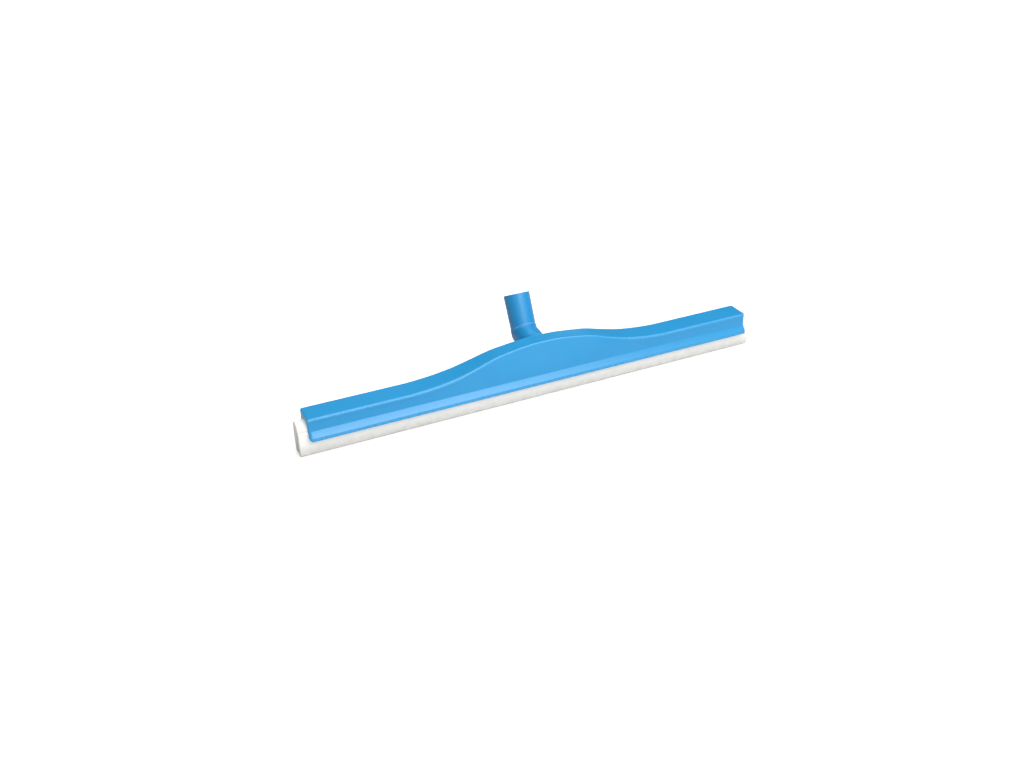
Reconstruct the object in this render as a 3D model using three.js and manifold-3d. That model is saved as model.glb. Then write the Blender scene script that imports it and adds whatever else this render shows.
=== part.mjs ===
// Floor squeegee head, 600 mm class, with a revolving neck and a slide-out
// double-lip cassette.  Millimetres, +Z up, X along the blade, -Y is the front.
import * as THREE from 'three';
import { mergeVertices } from 'three/addons/utils/BufferGeometryUtils.js';
import Module from 'manifold-3d';

const wasm = await Module();
wasm.setup();

// ---------------------------------------------------------------- dimensions
const FRAME_HALF_LENGTH = 291.1;     // blue moulding, half its length
const CASSETTE_HALF_LENGTH = 302.5;  // cassette stands 11.4 mm proud at each end

const WING_TOP_Z = 48.4;             // flat top of the wings
const WING_HALF_WIDTH = 15.2;
const SKIRT_Z = 21.4;                // lower edge of the skirt
const SKIRT_HALF_WIDTH = 17.8;
const SKIRT_END_RADIUS = 3.5;        // lower corner of the skirt, at the -X end where the cassette is pushed in
const GROOVE_HALF_WIDTH = 12.5;      // waist between skirt and side wall, front only
const GROOVE_Z = 33.8;
const BACK_WALL_Y = 17.2;            // plain upright wall at the back
const BACK_WALL_TOP_Z = 40;          // above this the arch leans forward
const BACK_EDGE_RADIUS = 5.2;

const HUMP_RISE = 25.9;                // centre arch above the wings
const HUMP_FRONT_SHIFT = 7.0;        // how far the front crease moves back
const HUMP_BACK_SHIFT = 5.3;         // and the back edge forward
// arch rise as a fraction of HUMP_RISE against distance from the middle
const ARCH = [[0, 1], [10, 0.998], [19, 0.98], [33, 0.93], [46, 0.862], [61, 0.775], [73.5, 0.655],
  [86, 0.508], [99, 0.371], [111, 0.253], [124, 0.162], [136, 0.096], [148, 0.048], [160, 0.017], [174, 0]];
const HUMP_WALL = 3.4;               // wall left when the arch is cored from below
const RIB = 2.4;                     // cross ribs between the cored cells

const CLEAR = 0.4;                   // cassette in its channel, each side
const BOND = 0.3;                    // between the bonded strips and the carrier
const WEB_HALF = 1.6;                // carrier web between the two strips
const WEB_BOTTOM_Z = 23.5;
const STRIP_TOP_Z = 29.9;
const LIP_GAP_TOP = 1.75;            // half the gap between the lips, at the web
const LIP_GAP_SOLE = 2.9;            // and at the floor

// swivel axis: leans 6 degrees above the horizontal, out of the arch's back
const AXIS_POINT = new THREE.Vector3(0, 12.5, 56.5);
const AXIS_TILT = 6;                // degrees above +Y
const BOSS_R = 15.7;
const BOSS_FACE = 5.3;               // washer seat, along the axis from AXIS_POINT
const BOSS_RIM = 6.7;                // the boss's rim stands round the washer, up to the neck
const BOSS_RECESS_R = 12.9;
const WASHER_R = 12.5;
const WASHER_BORE = 8.4;
const WASHER_FROM = 5.6;
const WASHER_TO = 6.8;
const LEG_R = 15.6;
const BALL_R = 15.3;                 // round outer corner of the elbow
const LEG_FROM = 7.1;
const ELBOW_AT = 33.7;
const JOURNAL_R = 8.0;
const JOURNAL_BORE_R = 8.3;
const JOURNAL_END = -5.8;
const CLIP_FROM = -2.7;
const CLIP_TO = -1.5;
const CLIP_GROOVE_R = 6.4;
const CLIP_OUTER_R = 10.2;
const WALL_INNER = -1.2;             // inner face of the arch's back wall, at the bore

// handle socket: leans back 28 degrees from the vertical
const SOCKET_TILT = 28;
const SOCKET_R = 15.65;
const SOCKET_LENGTH = 48.9;          // from the elbow's centre to the rim
const SOCKET_BORE_R = 12.3;
const SOCKET_DEPTH = 48.0;

const ROUND = 48;                    // facets of the round pieces

// ------------------------------------------------------------------ helpers
const rad = (d) => d * Math.PI / 180;
const axisDir = new THREE.Vector3(0, Math.cos(rad(AXIS_TILT)), Math.sin(rad(AXIS_TILT)));
const socketDir = new THREE.Vector3(0, Math.sin(rad(SOCKET_TILT)), Math.cos(rad(SOCKET_TILT)));
const elbow = AXIS_POINT.clone().addScaledVector(axisDir, ELBOW_AT);

function solid(geometry) {
  const g = geometry.clone();
  g.deleteAttribute('normal');
  g.deleteAttribute('uv');
  const m = mergeVertices(g.index ? g : g, 1e-4);
  return new wasm.Manifold(new wasm.Mesh({
    numProp: 3,
    vertProperties: new Float32Array(m.attributes.position.array),
    triVerts: new Uint32Array(m.index.array),
  }));
}

function surface(manifold) {
  const mesh = manifold.getMesh();
  const g = new THREE.BufferGeometry();
  const pos = new Float32Array(mesh.numVert * 3);
  for (let i = 0; i < mesh.numVert; i++) {
    for (let k = 0; k < 3; k++) pos[3 * i + k] = mesh.vertProperties[mesh.numProp * i + k];
  }
  g.setAttribute('position', new THREE.BufferAttribute(pos, 3));
  g.setIndex(new THREE.BufferAttribute(new Uint32Array(mesh.triVerts), 1));
  g.computeVertexNormals();
  return g;
}

// Cubic through a table without overshoot.
function smoothTable(table, x) {
  const n = table.length;
  if (x <= table[0][0]) return table[0][1];
  if (x >= table[n - 1][0]) return table[n - 1][1];
  const slope = (i) => (table[i + 1][1] - table[i][1]) / (table[i + 1][0] - table[i][0]);
  const tangent = (i) => {
    if (i === 0 || i === n - 1) return 0;
    const a = slope(i - 1), b = slope(i);
    return a * b <= 0 ? 0 : 2 * a * b / (a + b);
  };
  let i = 0;
  while (x > table[i + 1][0]) i++;
  const h = table[i + 1][0] - table[i][0];
  const t = (x - table[i][0]) / h;
  const t2 = t * t, t3 = t2 * t;
  return (2 * t3 - 3 * t2 + 1) * table[i][1] + (t3 - 2 * t2 + t) * h * tangent(i)
    + (-2 * t3 + 3 * t2) * table[i + 1][1] + (t3 - t2) * h * tangent(i + 1);
}
const arch = (x) => smoothTable(ARCH, Math.abs(x));

// Skin over sections of equal length (each a closed ring of [y, z] at one x).
function loft(sections) {
  const n = sections[0].ring.length;
  const pos = [];
  const index = [];
  for (const s of sections) for (const [y, z] of s.ring) pos.push(s.x, y, z);
  for (let k = 0; k + 1 < sections.length; k++) {
    for (let i = 0; i < n; i++) {
      const a = k * n + i, b = k * n + (i + 1) % n;
      const c = a + n, d = b + n;
      index.push(a, b, d, a, d, c);
    }
  }
  const cap = (k, flip) => {
    const ring = sections[k].ring.map(([y, z]) => new THREE.Vector2(y, z));
    for (const [a, b, c] of THREE.ShapeUtils.triangulateShape(ring, [])) {
      if (flip) index.push(k * n + a, k * n + b, k * n + c);
      else index.push(k * n + c, k * n + b, k * n + a);
    }
  };
  const area = THREE.ShapeUtils.area(sections[0].ring.map(([y, z]) => new THREE.Vector2(y, z)));
  cap(0, area < 0);
  cap(sections.length - 1, area > 0);
  const g = new THREE.BufferGeometry();
  g.setAttribute('position', new THREE.Float32BufferAttribute(pos, 3));
  g.setIndex(index);
  return outward(g);
}

// Turn every triangle over if the enclosed volume comes out negative.
function outward(g) {
  const p = g.attributes.position, ix = g.index.array;
  let v = 0;
  const a = new THREE.Vector3(), b = new THREE.Vector3(), c = new THREE.Vector3();
  for (let i = 0; i < ix.length; i += 3) {
    a.fromBufferAttribute(p, ix[i]);
    b.fromBufferAttribute(p, ix[i + 1]);
    c.fromBufferAttribute(p, ix[i + 2]);
    v += a.dot(b.cross(c));
  }
  if (v < 0) for (let i = 0; i < ix.length; i += 3) [ix[i], ix[i + 1]] = [ix[i + 1], ix[i]];
  return g;
}

const prism = (ring, from, to) => loft([{ x: from, ring }, { x: to, ring }]);
const mirror = (half) => half.concat(half.slice().reverse().filter(([y]) => y !== 0).map(([y, z]) => [-y, z]));

// A lathe profile of [radius, distance along the axis] set on a line.
function turned(profile, origin, direction, facets = ROUND) {
  const g = new THREE.LatheGeometry(profile.map(([r, h]) => new THREE.Vector2(r, h)), facets);
  g.deleteAttribute('normal');
  g.deleteAttribute('uv');
  const m = mergeVertices(g, 1e-4);
  // drop the triangles that shrink to nothing on the axis
  const keep = [];
  const ix = m.index.array;
  for (let i = 0; i < ix.length; i += 3) {
    if (ix[i] !== ix[i + 1] && ix[i + 1] !== ix[i + 2] && ix[i] !== ix[i + 2]) keep.push(ix[i], ix[i + 1], ix[i + 2]);
  }
  m.setIndex(keep);
  outward(m);
  m.applyQuaternion(new THREE.Quaternion().setFromUnitVectors(new THREE.Vector3(0, 1, 0), direction));
  m.translate(origin.x, origin.y, origin.z);
  return m;
}

// -------------------------------------------------------------------- frame
// Height of the arch's top strip, and the two walls as y against z, at one station.
const topZ = (h) => WING_TOP_Z + HUMP_RISE * h;
function frontY(h, z) {
  const crease = WING_HALF_WIDTH - HUMP_FRONT_SHIFT * h;
  const t = Math.max(0, (z - GROOVE_Z) / (topZ(h) - GROOVE_Z));
  return -(GROOVE_HALF_WIDTH + (crease - GROOVE_HALF_WIDTH) * t ** (3.5 - 1.9 * h));
}
function backY(h, z) {
  const t = Math.max(0, (z - BACK_WALL_TOP_Z) / (topZ(h) - BACK_WALL_TOP_Z));
  return BACK_WALL_Y - HUMP_BACK_SHIFT * h * t ** 1.08;
}
// Rounded corner between the wall's last point and the flat top.
function roundedEdge(last, corner, r) {
  const c = new THREE.Vector2(...corner);
  const a = new THREE.Vector2(...last).sub(c).setLength(r).add(c);
  const b = new THREE.Vector2(-Math.sign(corner[0]), 0).multiplyScalar(r).add(c);
  return [0, 0.3, 0.6, 1].map((t) => [(1 - t) ** 2 * a.x + 2 * t * (1 - t) * c.x + t * t * b.x,
    (1 - t) ** 2 * a.y + 2 * t * (1 - t) * c.y + t * t * b.y]);
}
function frontWall(h) {
  const pts = [0.2, 0.45, 0.7, 0.83].map((t) => GROOVE_Z + (topZ(h) - GROOVE_Z) * t).map((z) => [frontY(h, z), z]);
  return pts.concat(roundedEdge(pts[3], [frontY(h, topZ(h)), topZ(h)], 2.45 + 0.5 * h));
}
function backWall(h) {
  const pts = [0, 0.5, 1].map((t) => BACK_WALL_TOP_Z + (topZ(h) - BACK_EDGE_RADIUS - 0.4 - BACK_WALL_TOP_Z) * t).map((z) => [backY(h, z), z]);
  return pts.concat(roundedEdge(pts[2], [backY(h, topZ(h)), topZ(h)], BACK_EDGE_RADIUS));
}

// Channel that the cassette runs in, front half, from the skirt up to the crown.
const CHANNEL = [[-10.9 - CLEAR, SKIRT_Z], [-10.9 - CLEAR, 26.2], [-10.7 - CLEAR, 29.2], [-10.5 - CLEAR, 30.5],
  [-9.85, 31.3], [-9.85, 32.1], [-9.9 - CLEAR, 32.9], [-8.75 - CLEAR, 36.0], [-7.15 - CLEAR, 38.75],
  [-5.3 - CLEAR, 40.7], [-3.1 - CLEAR, 41.6], [0, 41.9]];

function frameRing(x) {
  const h = arch(x);
  const skirt = [[-(SKIRT_HALF_WIDTH - 0.8), SKIRT_Z], [-SKIRT_HALF_WIDTH, SKIRT_Z + 0.8],
    [-SKIRT_HALF_WIDTH, 25.2], [-16.9, 26.7], [-15.2, 28.9], [-13.5, 31.2], [-12.7, 32.6], [-GROOVE_HALF_WIDTH, GROOVE_Z]];
  const front = skirt.concat(frontWall(h));
  const back = [[BACK_WALL_Y - 0.8, SKIRT_Z], [BACK_WALL_Y, SKIRT_Z + 0.8], [BACK_WALL_Y, 31]].concat(backWall(h)).reverse();
  const inner = mirror(CHANNEL).reverse();
  return front.concat(back, inner);
}

const half = [0, 8, 16, 25, 34, 43, 52, 61, 70, 79, 88, 97, 106, 116, 127, 139, 152, 165, 176, FRAME_HALF_LENGTH];
const stations = half.slice(1).reverse().map((x) => -x).concat(half);
let frame = solid(loft(stations.map((x) => ({ x, ring: frameRing(x) }))));

// round boss on the back of the arch that the neck turns on
frame = frame.add(solid(turned([[0, -1], [BOSS_R, -1], [BOSS_R, BOSS_RIM - 0.3], [BOSS_R - 0.3, BOSS_RIM],
  [BOSS_RECESS_R, BOSS_RIM], [BOSS_RECESS_R, BOSS_FACE], [0, BOSS_FACE]], AXIS_POINT, axisDir)));

// cells cored out of the arch from below, with ribs left between them
function coreRing(x) {
  const h = arch(x);
  const top = topZ(h) - HUMP_WALL;
  const zs = [0.2, 0.5, 0.8].map((f) => 42.4 + (top - 42.4) * f);
  const front = zs.map((z) => [frontY(h, z) + HUMP_WALL, z]);
  const back = zs.map((z) => [backY(h, z) - HUMP_WALL, z]).reverse();
  return [[-5.9, 39.6], ...front, [frontY(h, top) + HUMP_WALL + 1.2, top],
    [backY(h, top) - HUMP_WALL - 1.8, top], ...back, [5.9, 39.6]];
}
const cells = [[-24, 24], [24 + RIB, 50], [50 + RIB, 76], [76 + RIB, 102]];
for (const [a, b] of cells) {
  const cut = (p, q) => {
    const xs = [p, p + (q - p) / 3, p + 2 * (q - p) / 3, q];
    frame = frame.subtract(solid(loft(xs.map((x) => ({ x, ring: coreRing(x) })))));
  };
  cut(a, b);
  if (a > 0) cut(-b, -a);
}
// solid seat for the journal inside the arch, then its bore and the clip's pocket
frame = frame.add(solid(turned([[0, WALL_INNER], [12.6, WALL_INNER], [12.6, -0.5], [0, -0.5]], AXIS_POINT, axisDir)));
frame = frame.subtract(solid(turned([[0, -16], [11.4, -16], [11.4, WALL_INNER], [0, WALL_INNER]], AXIS_POINT, axisDir)));
frame = frame.subtract(solid(turned([[0, -17], [JOURNAL_BORE_R, -17], [JOURNAL_BORE_R, BOSS_FACE + 1], [0, BOSS_FACE + 1]], AXIS_POINT, axisDir)));
// keep the channel clear of the seat
frame = frame.subtract(solid(prism(mirror([[-5.6, 36], [-5.6, 40.7], [-3.4, 41.65], [0, 41.95]]), -20, 20)));

// rounded lower corner of the skirt at the end where the cassette is pushed in
for (const s of [-1]) {
  const R = SKIRT_END_RADIUS, X = FRAME_HALF_LENGTH;
  const shape = new THREE.Shape();
  shape.moveTo(s * (X + 2), SKIRT_Z - 2);
  shape.lineTo(s * (X + 2), SKIRT_Z + R);
  for (let i = 0; i <= 8; i++) {
    const a = rad(90 * i / 8);
    shape.lineTo(s * (X - R + R * Math.cos(a)), SKIRT_Z + R - R * Math.sin(a));
  }
  shape.lineTo(s * (X - R), SKIRT_Z - 2);
  const g = new THREE.ExtrudeGeometry(shape, { depth: 60, bevelEnabled: false });
  g.deleteAttribute('normal');
  g.deleteAttribute('uv');
  const m = outward(mergeVertices(g, 1e-4));
  m.applyMatrix4(new THREE.Matrix4().makeBasis(new THREE.Vector3(1, 0, 0), new THREE.Vector3(0, 0, 1), new THREE.Vector3(0, -1, 0)));
  m.translate(0, 30, 0);
  outward(m);
  frame = frame.subtract(solid(m));
}

// ----------------------------------------------------------------- cassette
const CROWN = [[-10.35, STRIP_TOP_Z + BOND], [-10.35, 30.6], [-9.45, 31.2], [-9.4, 32.2], [-9.9, 33.0], [-8.75, 36.0],
  [-7.15, 38.6], [-5.3, 40.4], [-3.1, 41.2], [0, 41.5]];
const coreHalf = [[-WEB_HALF, WEB_BOTTOM_Z], [-WEB_HALF, STRIP_TOP_Z + BOND]].concat(CROWN);
const core = solid(prism(mirror(coreHalf), -CASSETTE_HALF_LENGTH, CASSETTE_HALF_LENGTH));

const stripFront = [[-LIP_GAP_SOLE - 0.5, 0], [-LIP_GAP_SOLE, 0.6], [-LIP_GAP_TOP, WEB_BOTTOM_Z], [-WEB_HALF - BOND, STRIP_TOP_Z],
  [-10.25, STRIP_TOP_Z], [-10.65, 28.6], [-10.8, 26], [-10.8, 19], [-10.6, 11], [-10.1, 5], [-9.6, 1.6], [-9.1, 0.5], [-8.3, 0]];
const strip = (s) => solid(prism(stripFront.map(([y, z]) => [s * y, z]), -CASSETTE_HALF_LENGTH, CASSETTE_HALF_LENGTH));

// --------------------------------------------------------------------- neck
let neck = solid(turned([[0, LEG_FROM], [LEG_R - 0.3, LEG_FROM], [LEG_R, LEG_FROM + 0.3], [LEG_R, ELBOW_AT - 8],
  [BALL_R, ELBOW_AT], [0, ELBOW_AT]], AXIS_POINT, axisDir));
const ball = [];
for (let i = 0; i <= 16; i++) ball.push([i === 0 || i === 16 ? 0 : (BALL_R - 0.02) * Math.sin(Math.PI * i / 16), -(BALL_R - 0.02) * Math.cos(Math.PI * i / 16)]);
neck = neck.add(solid(turned(ball, elbow, axisDir)));
neck = neck.add(solid(turned([[0, 0], [SOCKET_R, 0], [SOCKET_R, SOCKET_LENGTH - 0.7], [SOCKET_R - 0.7, SOCKET_LENGTH], [0, SOCKET_LENGTH]], elbow, socketDir)));
neck = neck.add(solid(turned([[0, JOURNAL_END], [JOURNAL_R - 0.9, JOURNAL_END], [JOURNAL_R, JOURNAL_END + 0.9], [JOURNAL_R, CLIP_FROM - 0.25],
  [CLIP_GROOVE_R, CLIP_FROM - 0.25], [CLIP_GROOVE_R, CLIP_TO + 0.25], [JOURNAL_R, CLIP_TO + 0.25], [JOURNAL_R, LEG_FROM + 2], [0, LEG_FROM + 2]],
AXIS_POINT, axisDir)));
const mouth = SOCKET_LENGTH;
neck = neck.subtract(solid(turned([[0, mouth - SOCKET_DEPTH], [SOCKET_BORE_R, mouth - SOCKET_DEPTH], [SOCKET_BORE_R, mouth - 1.2],
  [SOCKET_BORE_R + 1.2, mouth], [SOCKET_BORE_R + 1.2, mouth + 3], [0, mouth + 3]], elbow, socketDir)));

// hardware of the swivel
const washer = solid(turned([[WASHER_BORE, WASHER_FROM], [WASHER_R, WASHER_FROM], [WASHER_R, WASHER_TO], [WASHER_BORE, WASHER_TO], [WASHER_BORE, WASHER_FROM]],
  AXIS_POINT, axisDir));
let clip = solid(turned([[CLIP_GROOVE_R + 0.3, CLIP_FROM], [CLIP_OUTER_R, CLIP_FROM], [CLIP_OUTER_R, CLIP_TO], [CLIP_GROOVE_R + 0.3, CLIP_TO], [CLIP_GROOVE_R + 0.3, CLIP_FROM]],
  AXIS_POINT, axisDir));
// the clip is open at its lower side so that it springs over the journal
{
  const slot = new THREE.BoxGeometry(7.4, 6, 9);
  slot.deleteAttribute('normal');
  slot.deleteAttribute('uv');
  slot.applyQuaternion(new THREE.Quaternion().setFromUnitVectors(new THREE.Vector3(0, 1, 0), axisDir));
  const down = new THREE.Vector3(1, 0, 0).cross(axisDir).negate();
  const at = AXIS_POINT.clone().addScaledVector(axisDir, (CLIP_FROM + CLIP_TO) / 2).addScaledVector(down, 9.5);
  slot.translate(at.x, at.y, at.z);
  clip = clip.subtract(solid(slot));
}

// ----------------------------------------------------------------- assembly
const blue = (r = 0.42) => new THREE.MeshStandardMaterial({ color: 0x3a9fe0, roughness: r, metalness: 0 });
const white = (r = 0.85) => new THREE.MeshStandardMaterial({ color: 0xdfddd6, roughness: r, metalness: 0 });

function piece(name, manifold, material) {
  const mesh = new THREE.Mesh(surface(manifold), material);
  mesh.name = name;
  return mesh;
}

const tool = new THREE.Group();
tool.add(piece('squeegee_frame', frame, blue()));

const cassette = new THREE.Group();
cassette.add(piece('cassette_carrier', core, white(0.55)));
cassette.add(piece('front_foam_lip', strip(1), white()));
cassette.add(piece('rear_foam_lip', strip(-1), white()));
tool.add(cassette);

const neckGroup = new THREE.Group();
neckGroup.add(piece('swivel_neck', neck, blue(0.38)));
neckGroup.add(piece('neck_thrust_washer', washer, new THREE.MeshStandardMaterial({ color: 0xe6e4dc, roughness: 0.4, metalness: 0 })));
neckGroup.add(piece('neck_retaining_clip', clip, new THREE.MeshStandardMaterial({ color: 0xb9bcc0, roughness: 0.3, metalness: 1 })));
tool.add(neckGroup);

// origin: on the floor, under the middle of the whole head
tool.updateMatrixWorld(true);
const box = new THREE.Box3().setFromObject(tool, true);
tool.position.y = -(box.min.y + box.max.y) / 2;

const group = new THREE.Group();
group.add(tool);

export default group;
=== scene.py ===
import math

import bmesh
import bpy
import numpy as np
from mathutils import Matrix, Vector


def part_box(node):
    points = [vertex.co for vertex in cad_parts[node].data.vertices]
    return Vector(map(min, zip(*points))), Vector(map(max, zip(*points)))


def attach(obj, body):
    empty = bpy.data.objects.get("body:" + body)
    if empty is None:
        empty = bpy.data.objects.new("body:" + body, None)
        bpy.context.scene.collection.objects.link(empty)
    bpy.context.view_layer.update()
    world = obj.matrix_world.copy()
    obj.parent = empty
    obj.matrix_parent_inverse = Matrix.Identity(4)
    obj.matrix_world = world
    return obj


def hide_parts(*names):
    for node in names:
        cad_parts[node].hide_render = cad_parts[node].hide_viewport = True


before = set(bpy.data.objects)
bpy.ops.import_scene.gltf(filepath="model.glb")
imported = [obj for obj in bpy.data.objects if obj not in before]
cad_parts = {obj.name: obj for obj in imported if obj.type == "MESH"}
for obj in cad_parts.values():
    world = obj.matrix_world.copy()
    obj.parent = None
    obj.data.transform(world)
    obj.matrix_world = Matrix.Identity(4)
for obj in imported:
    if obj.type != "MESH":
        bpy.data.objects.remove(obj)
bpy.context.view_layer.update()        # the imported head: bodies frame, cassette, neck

MM = 0.001

# ------------------------------------------------------------------ dimensions
# The same driving dimensions as the CAD, in millimetres, about the blade's mid-plane.
_lo, _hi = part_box("cassette_carrier")
Y0 = (_lo[1] + _hi[1]) / 2 / MM          # where the mid-plane lies in the row's frame
CASS_L = (_hi[0] - _lo[0]) / 2 / MM      # 302.5
_lo, _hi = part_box("squeegee_frame")
FRAME_L = (_hi[0] - _lo[0]) / 2 / MM     # 291.1

WING_TOP, WING_HALF = 48.4, 15.2
SKIRT_Z, SKIRT_HALF, SKIRT_R = 21.4, 17.8, 3.5
LIP_TOP = 25.7                           # upright lip of the skirt ends, slope begins
GROOVE_Y, GROOVE_Z = 12.5, 33.8
BACK_Y, BACK_TOP, BACK_R = 17.2, 40.0, 5.2
RISE, FRONT_SHIFT, BACK_SHIFT = 25.9, 7.0, 5.3
ARCH = [(0, 1), (10, .998), (19, .98), (33, .93), (46, .862), (61, .775), (73.5, .655),
        (86, .508), (99, .371), (111, .253), (124, .162), (136, .096), (148, .048),
        (160, .017), (174, 0)]
WALL, RIB = 3.4, 2.4

AXIS = np.array([0.0, 12.5, 56.5])
AX_TILT, UP_TILT = math.radians(6), math.radians(28)
AX = np.array([0.0, math.cos(AX_TILT), math.sin(AX_TILT)])
UP = np.array([0.0, math.sin(UP_TILT), math.cos(UP_TILT)])
LEG_R, BALL_R, BORE_R = 15.6, 15.3, 12.3
SOCKET_R = 15.65
ELBOW_AT, SOCKET_LEN, SOCKET_DEPTH = 33.7, 48.9, 48.0
BOSS_R, BOSS_FACE, BOSS_RIM, RECESS_R = 15.7, 5.3, 6.7, 12.9
WASHER_R = 12.5
LEG_FROM, JOURNAL_R, JOURNAL_END = 7.1, 8.0, -5.8
CLIP_FROM, CLIP_TO, CLIP_GROOVE_R, CLIP_R = -2.7, -1.5, 6.4, 10.2


def arch(x):
    x = abs(x)
    n = len(ARCH)
    if x >= ARCH[-1][0]:
        return 0.0

    def slope(i):
        return (ARCH[i + 1][1] - ARCH[i][1]) / (ARCH[i + 1][0] - ARCH[i][0])

    def tangent(i):
        if i in (0, n - 1):
            return 0.0
        a, b = slope(i - 1), slope(i)
        return 0.0 if a * b <= 0 else 2 * a * b / (a + b)

    i = 0
    while x > ARCH[i + 1][0]:
        i += 1
    h = ARCH[i + 1][0] - ARCH[i][0]
    t = (x - ARCH[i][0]) / h
    t2, t3 = t * t, t * t * t
    return ((2 * t3 - 3 * t2 + 1) * ARCH[i][1] + (t3 - 2 * t2 + t) * h * tangent(i)
            + (-2 * t3 + 3 * t2) * ARCH[i + 1][1] + (t3 - t2) * h * tangent(i + 1))


def top_z(h):
    return WING_TOP + RISE * h


def front_y(h, z):
    crease = WING_HALF - FRONT_SHIFT * h
    t = max(0.0, (z - GROOVE_Z) / (top_z(h) - GROOVE_Z))
    return -(GROOVE_Y + (crease - GROOVE_Y) * t ** (3.5 - 1.9 * h))


def back_y(h, z):
    t = max(0.0, (z - BACK_TOP) / (top_z(h) - BACK_TOP))
    return BACK_Y - BACK_SHIFT * h * t ** 1.08


# ------------------------------------------------------------------ mesh tools
def fillet(points):
    """Corners (y, z, radius, segments, edge) to a list of (y, z, edge). Radius 0 keeps the point."""
    n = len(points)
    out = []
    for i, (y, z, r, seg, edge) in enumerate(points):
        p = np.array([y, z])
        if r <= 0:
            out.append((y, z, edge))
            continue
        a = np.array(points[i - 1][:2]) - p
        b = np.array(points[(i + 1) % n][:2]) - p
        la, lb = np.linalg.norm(a), np.linalg.norm(b)
        a, b = a / la, b / lb
        cosang = float(np.clip(a @ b, -1, 1))
        ang = math.acos(cosang)
        if ang > math.radians(176):
            d = min(0.2, 0.3 * la, 0.3 * lb)
            for k in range(seg + 1):
                q = p + a * d * (1 - 2 * k / seg) if k <= seg / 2 else p + b * d * (2 * k / seg - 1)
                out.append((q[0], q[1], 0.0))
            continue
        ka = 0.46 if points[i - 1][2] > 0 else 0.97
        kb = 0.46 if points[(i + 1) % n][2] > 0 else 0.97
        L = min(r / math.tan(ang / 2), ka * la, kb * lb)
        rr = L * math.tan(ang / 2)
        m = (a + b) / np.linalg.norm(a + b)
        c = p + m * rr / math.sin(ang / 2)
        pa, pb = p + a * L - c, p + b * L - c
        sweep = math.pi - ang
        for k in range(seg + 1):
            t = k / seg
            q = (math.sin((1 - t) * sweep) * pa + math.sin(t * sweep) * pb) / math.sin(sweep)
            wear_and_highlight = edge * math.sin(math.pi * t) if seg >= 10 else edge     # wide corners are painted paler in the middle only: rubbed wear and a painted highlight
            out.append((c[0] + q[0], c[1] + q[1], wear_and_highlight))
    return out


def densify(points, at):
    """Adds a holding point close to each end of the long straight runs, so that the flats shade flat."""
    out = []
    n = len(points)
    for i in range(n):
        y, z, e = points[i]
        out.append((y, z, e))
        y2, z2, e2 = points[(i + 1) % n]
        d = math.hypot(y2 - y, z2 - z)
        if i in at and d > 1.2:
            for f in (0.25 / d, 1 - 0.25 / d):
                out.append((y + (y2 - y) * f, z + (z2 - z) * f, 0.0))
    return out


def make_object(name, verts, faces, mats, edge=None, angle=32, mat_index=None):
    """A mesh object in the row's frame from millimetre points about the mid-plane."""
    v = np.array(verts, float)
    v[:, 1] += Y0
    me = bpy.data.meshes.new(name)
    me.from_pydata((v * MM).tolist(), [], [tuple(f) for f in faces])
    if edge is not None:
        at = me.attributes.new("edge", "FLOAT", "POINT")
        at.data.foreach_set("value", np.array(edge, np.float32))
    me.validate()
    bm = bmesh.new()
    bm.from_mesh(me)
    bmesh.ops.recalc_face_normals(bm, faces=bm.faces)
    bm.to_mesh(me)
    bm.free()
    if mat_index is not None and len(mat_index) == len(me.polygons):
        me.polygons.foreach_set("material_index", mat_index)
    me.polygons.foreach_set("use_smooth", [True] * len(me.polygons))
    me.set_sharp_from_angle(angle=math.radians(angle))
    o = bpy.data.objects.new(name, me)
    bpy.context.scene.collection.objects.link(o)
    for m in mats if isinstance(mats, (list, tuple)) else [mats]:
        me.materials.append(m)
    return o


def loft(sections):
    """Rings of (y, z, edge) at x, all of one length, to vertices, faces and edge values, with capped ends."""
    n = len(sections[0][1])
    verts, edge, faces = [], [], []
    for x, ring in sections:
        for y, z, e in ring:
            verts.append((x, y, z))
            edge.append(e)
    for k in range(len(sections) - 1):
        for i in range(n):
            a, b = k * n + i, k * n + (i + 1) % n
            faces.append((a, b, b + n, a + n))
    last = (len(sections) - 1) * n
    faces.append(tuple(range(n - 1, -1, -1)))
    faces.append(tuple(last + i for i in range(n)))
    return verts, faces, edge


def basis(direction):
    d = np.array(direction, float)
    d /= np.linalg.norm(d)
    x = np.array([1.0, 0, 0])
    return x, np.cross(d, x), d


def rings_to_mesh(rings, closed_start=None, closed_end=None, loop=False):
    """Rings of points (n each) to verts and faces; the ends close on a centre point, or the rings loop round."""
    n = len(rings[0])
    verts = [p for ring in rings for p in ring]
    faces = []
    count = len(rings)
    for k in range(count if loop else count - 1):
        k2 = (k + 1) % count
        for i in range(n):
            j = (i + 1) % n
            faces.append((k * n + i, k * n + j, k2 * n + j, k2 * n + i))
    if closed_start is not None:
        verts.append(tuple(closed_start))
        c = len(verts) - 1
        faces += [(c, (i + 1) % n, i) for i in range(n)]
    if closed_end is not None:
        verts.append(tuple(closed_end))
        c = len(verts) - 1
        b = (count - 1) * n
        faces += [(c, b + i, b + (i + 1) % n) for i in range(n)]
    return verts, faces


def circle(centre, r, direction, n):
    x, y, _ = basis(direction)
    return [tuple(np.array(centre) + r * (math.cos(2 * math.pi * k / n) * x + math.sin(2 * math.pi * k / n) * y))
            for k in range(n)]


def turned(profile, origin, direction, n=96, loop=False):
    """A turned body: profile of (radius, distance along the axis)."""
    o, d = np.array(origin, float), np.array(direction, float)
    rings = [circle(o + d * h, r, d, n) for r, h in profile if r > 1e-6]
    if loop:
        return rings_to_mesh(rings, loop=True)
    return rings_to_mesh(rings, closed_start=o + d * profile[0][1], closed_end=o + d * profile[-1][1])


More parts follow.
